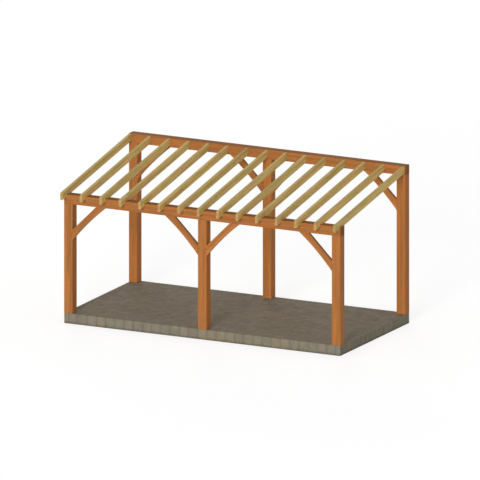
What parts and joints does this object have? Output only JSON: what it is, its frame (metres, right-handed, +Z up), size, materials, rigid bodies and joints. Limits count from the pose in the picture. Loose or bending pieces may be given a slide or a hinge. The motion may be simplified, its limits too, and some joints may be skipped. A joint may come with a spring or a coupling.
{
  "type": "oak patio cover",
  "caption": "Lean-to oak patio cover: an open timber frame with arched braces and sloping rafters on a raised paved base.",
  "frame": {"origin": "middle of the base's underside, at ground level", "axes": "+X along the length, to the right seen from the front; +Y from the low front to the high back; +Z up"},
  "size_m": [6, 3.17, 3.1784],
  "materials": {
    "oak_frame": "sawn and planed, lightly oiled",
    "rafter_wood": "sawn, unfinished",
    "edging_brick": "matt, tumbled",
    "paving_brick": "matt, worn"
  },
  "bodies": {
    "root": {"front_left_post": "oak_frame", "front_middle_post": "oak_frame", "front_right_post": "oak_frame", "back_left_post": "oak_frame", "back_middle_post": "oak_frame", "back_right_post": "oak_frame", "front_beam": "oak_frame", "back_beam": "oak_frame", "front_brace_1": "oak_frame", "front_brace_2": "oak_frame", "front_brace_3": "oak_frame", "front_brace_4": "oak_frame", "back_brace_1": "oak_frame", "back_brace_2": "oak_frame", "back_brace_3": "oak_frame", "back_brace_4": "oak_frame", "front_edging": "edging_brick", "back_edging": "edging_brick", "left_edging": "edging_brick", "right_edging": "edging_brick", "paved_floor": "paving_brick", "rafter_01": "rafter_wood", "rafter_02": "rafter_wood", "rafter_03": "rafter_wood", "rafter_04": "rafter_wood", "rafter_05": "rafter_wood", "rafter_06": "rafter_wood", "rafter_07": "rafter_wood", "rafter_08": "rafter_wood", "rafter_09": "rafter_wood", "rafter_10": "rafter_wood", "rafter_11": "rafter_wood", "rafter_12": "rafter_wood", "rafter_13": "rafter_wood", "rafter_14": "rafter_wood", "rafter_15": "rafter_wood"}
  },
  "joints": []
}
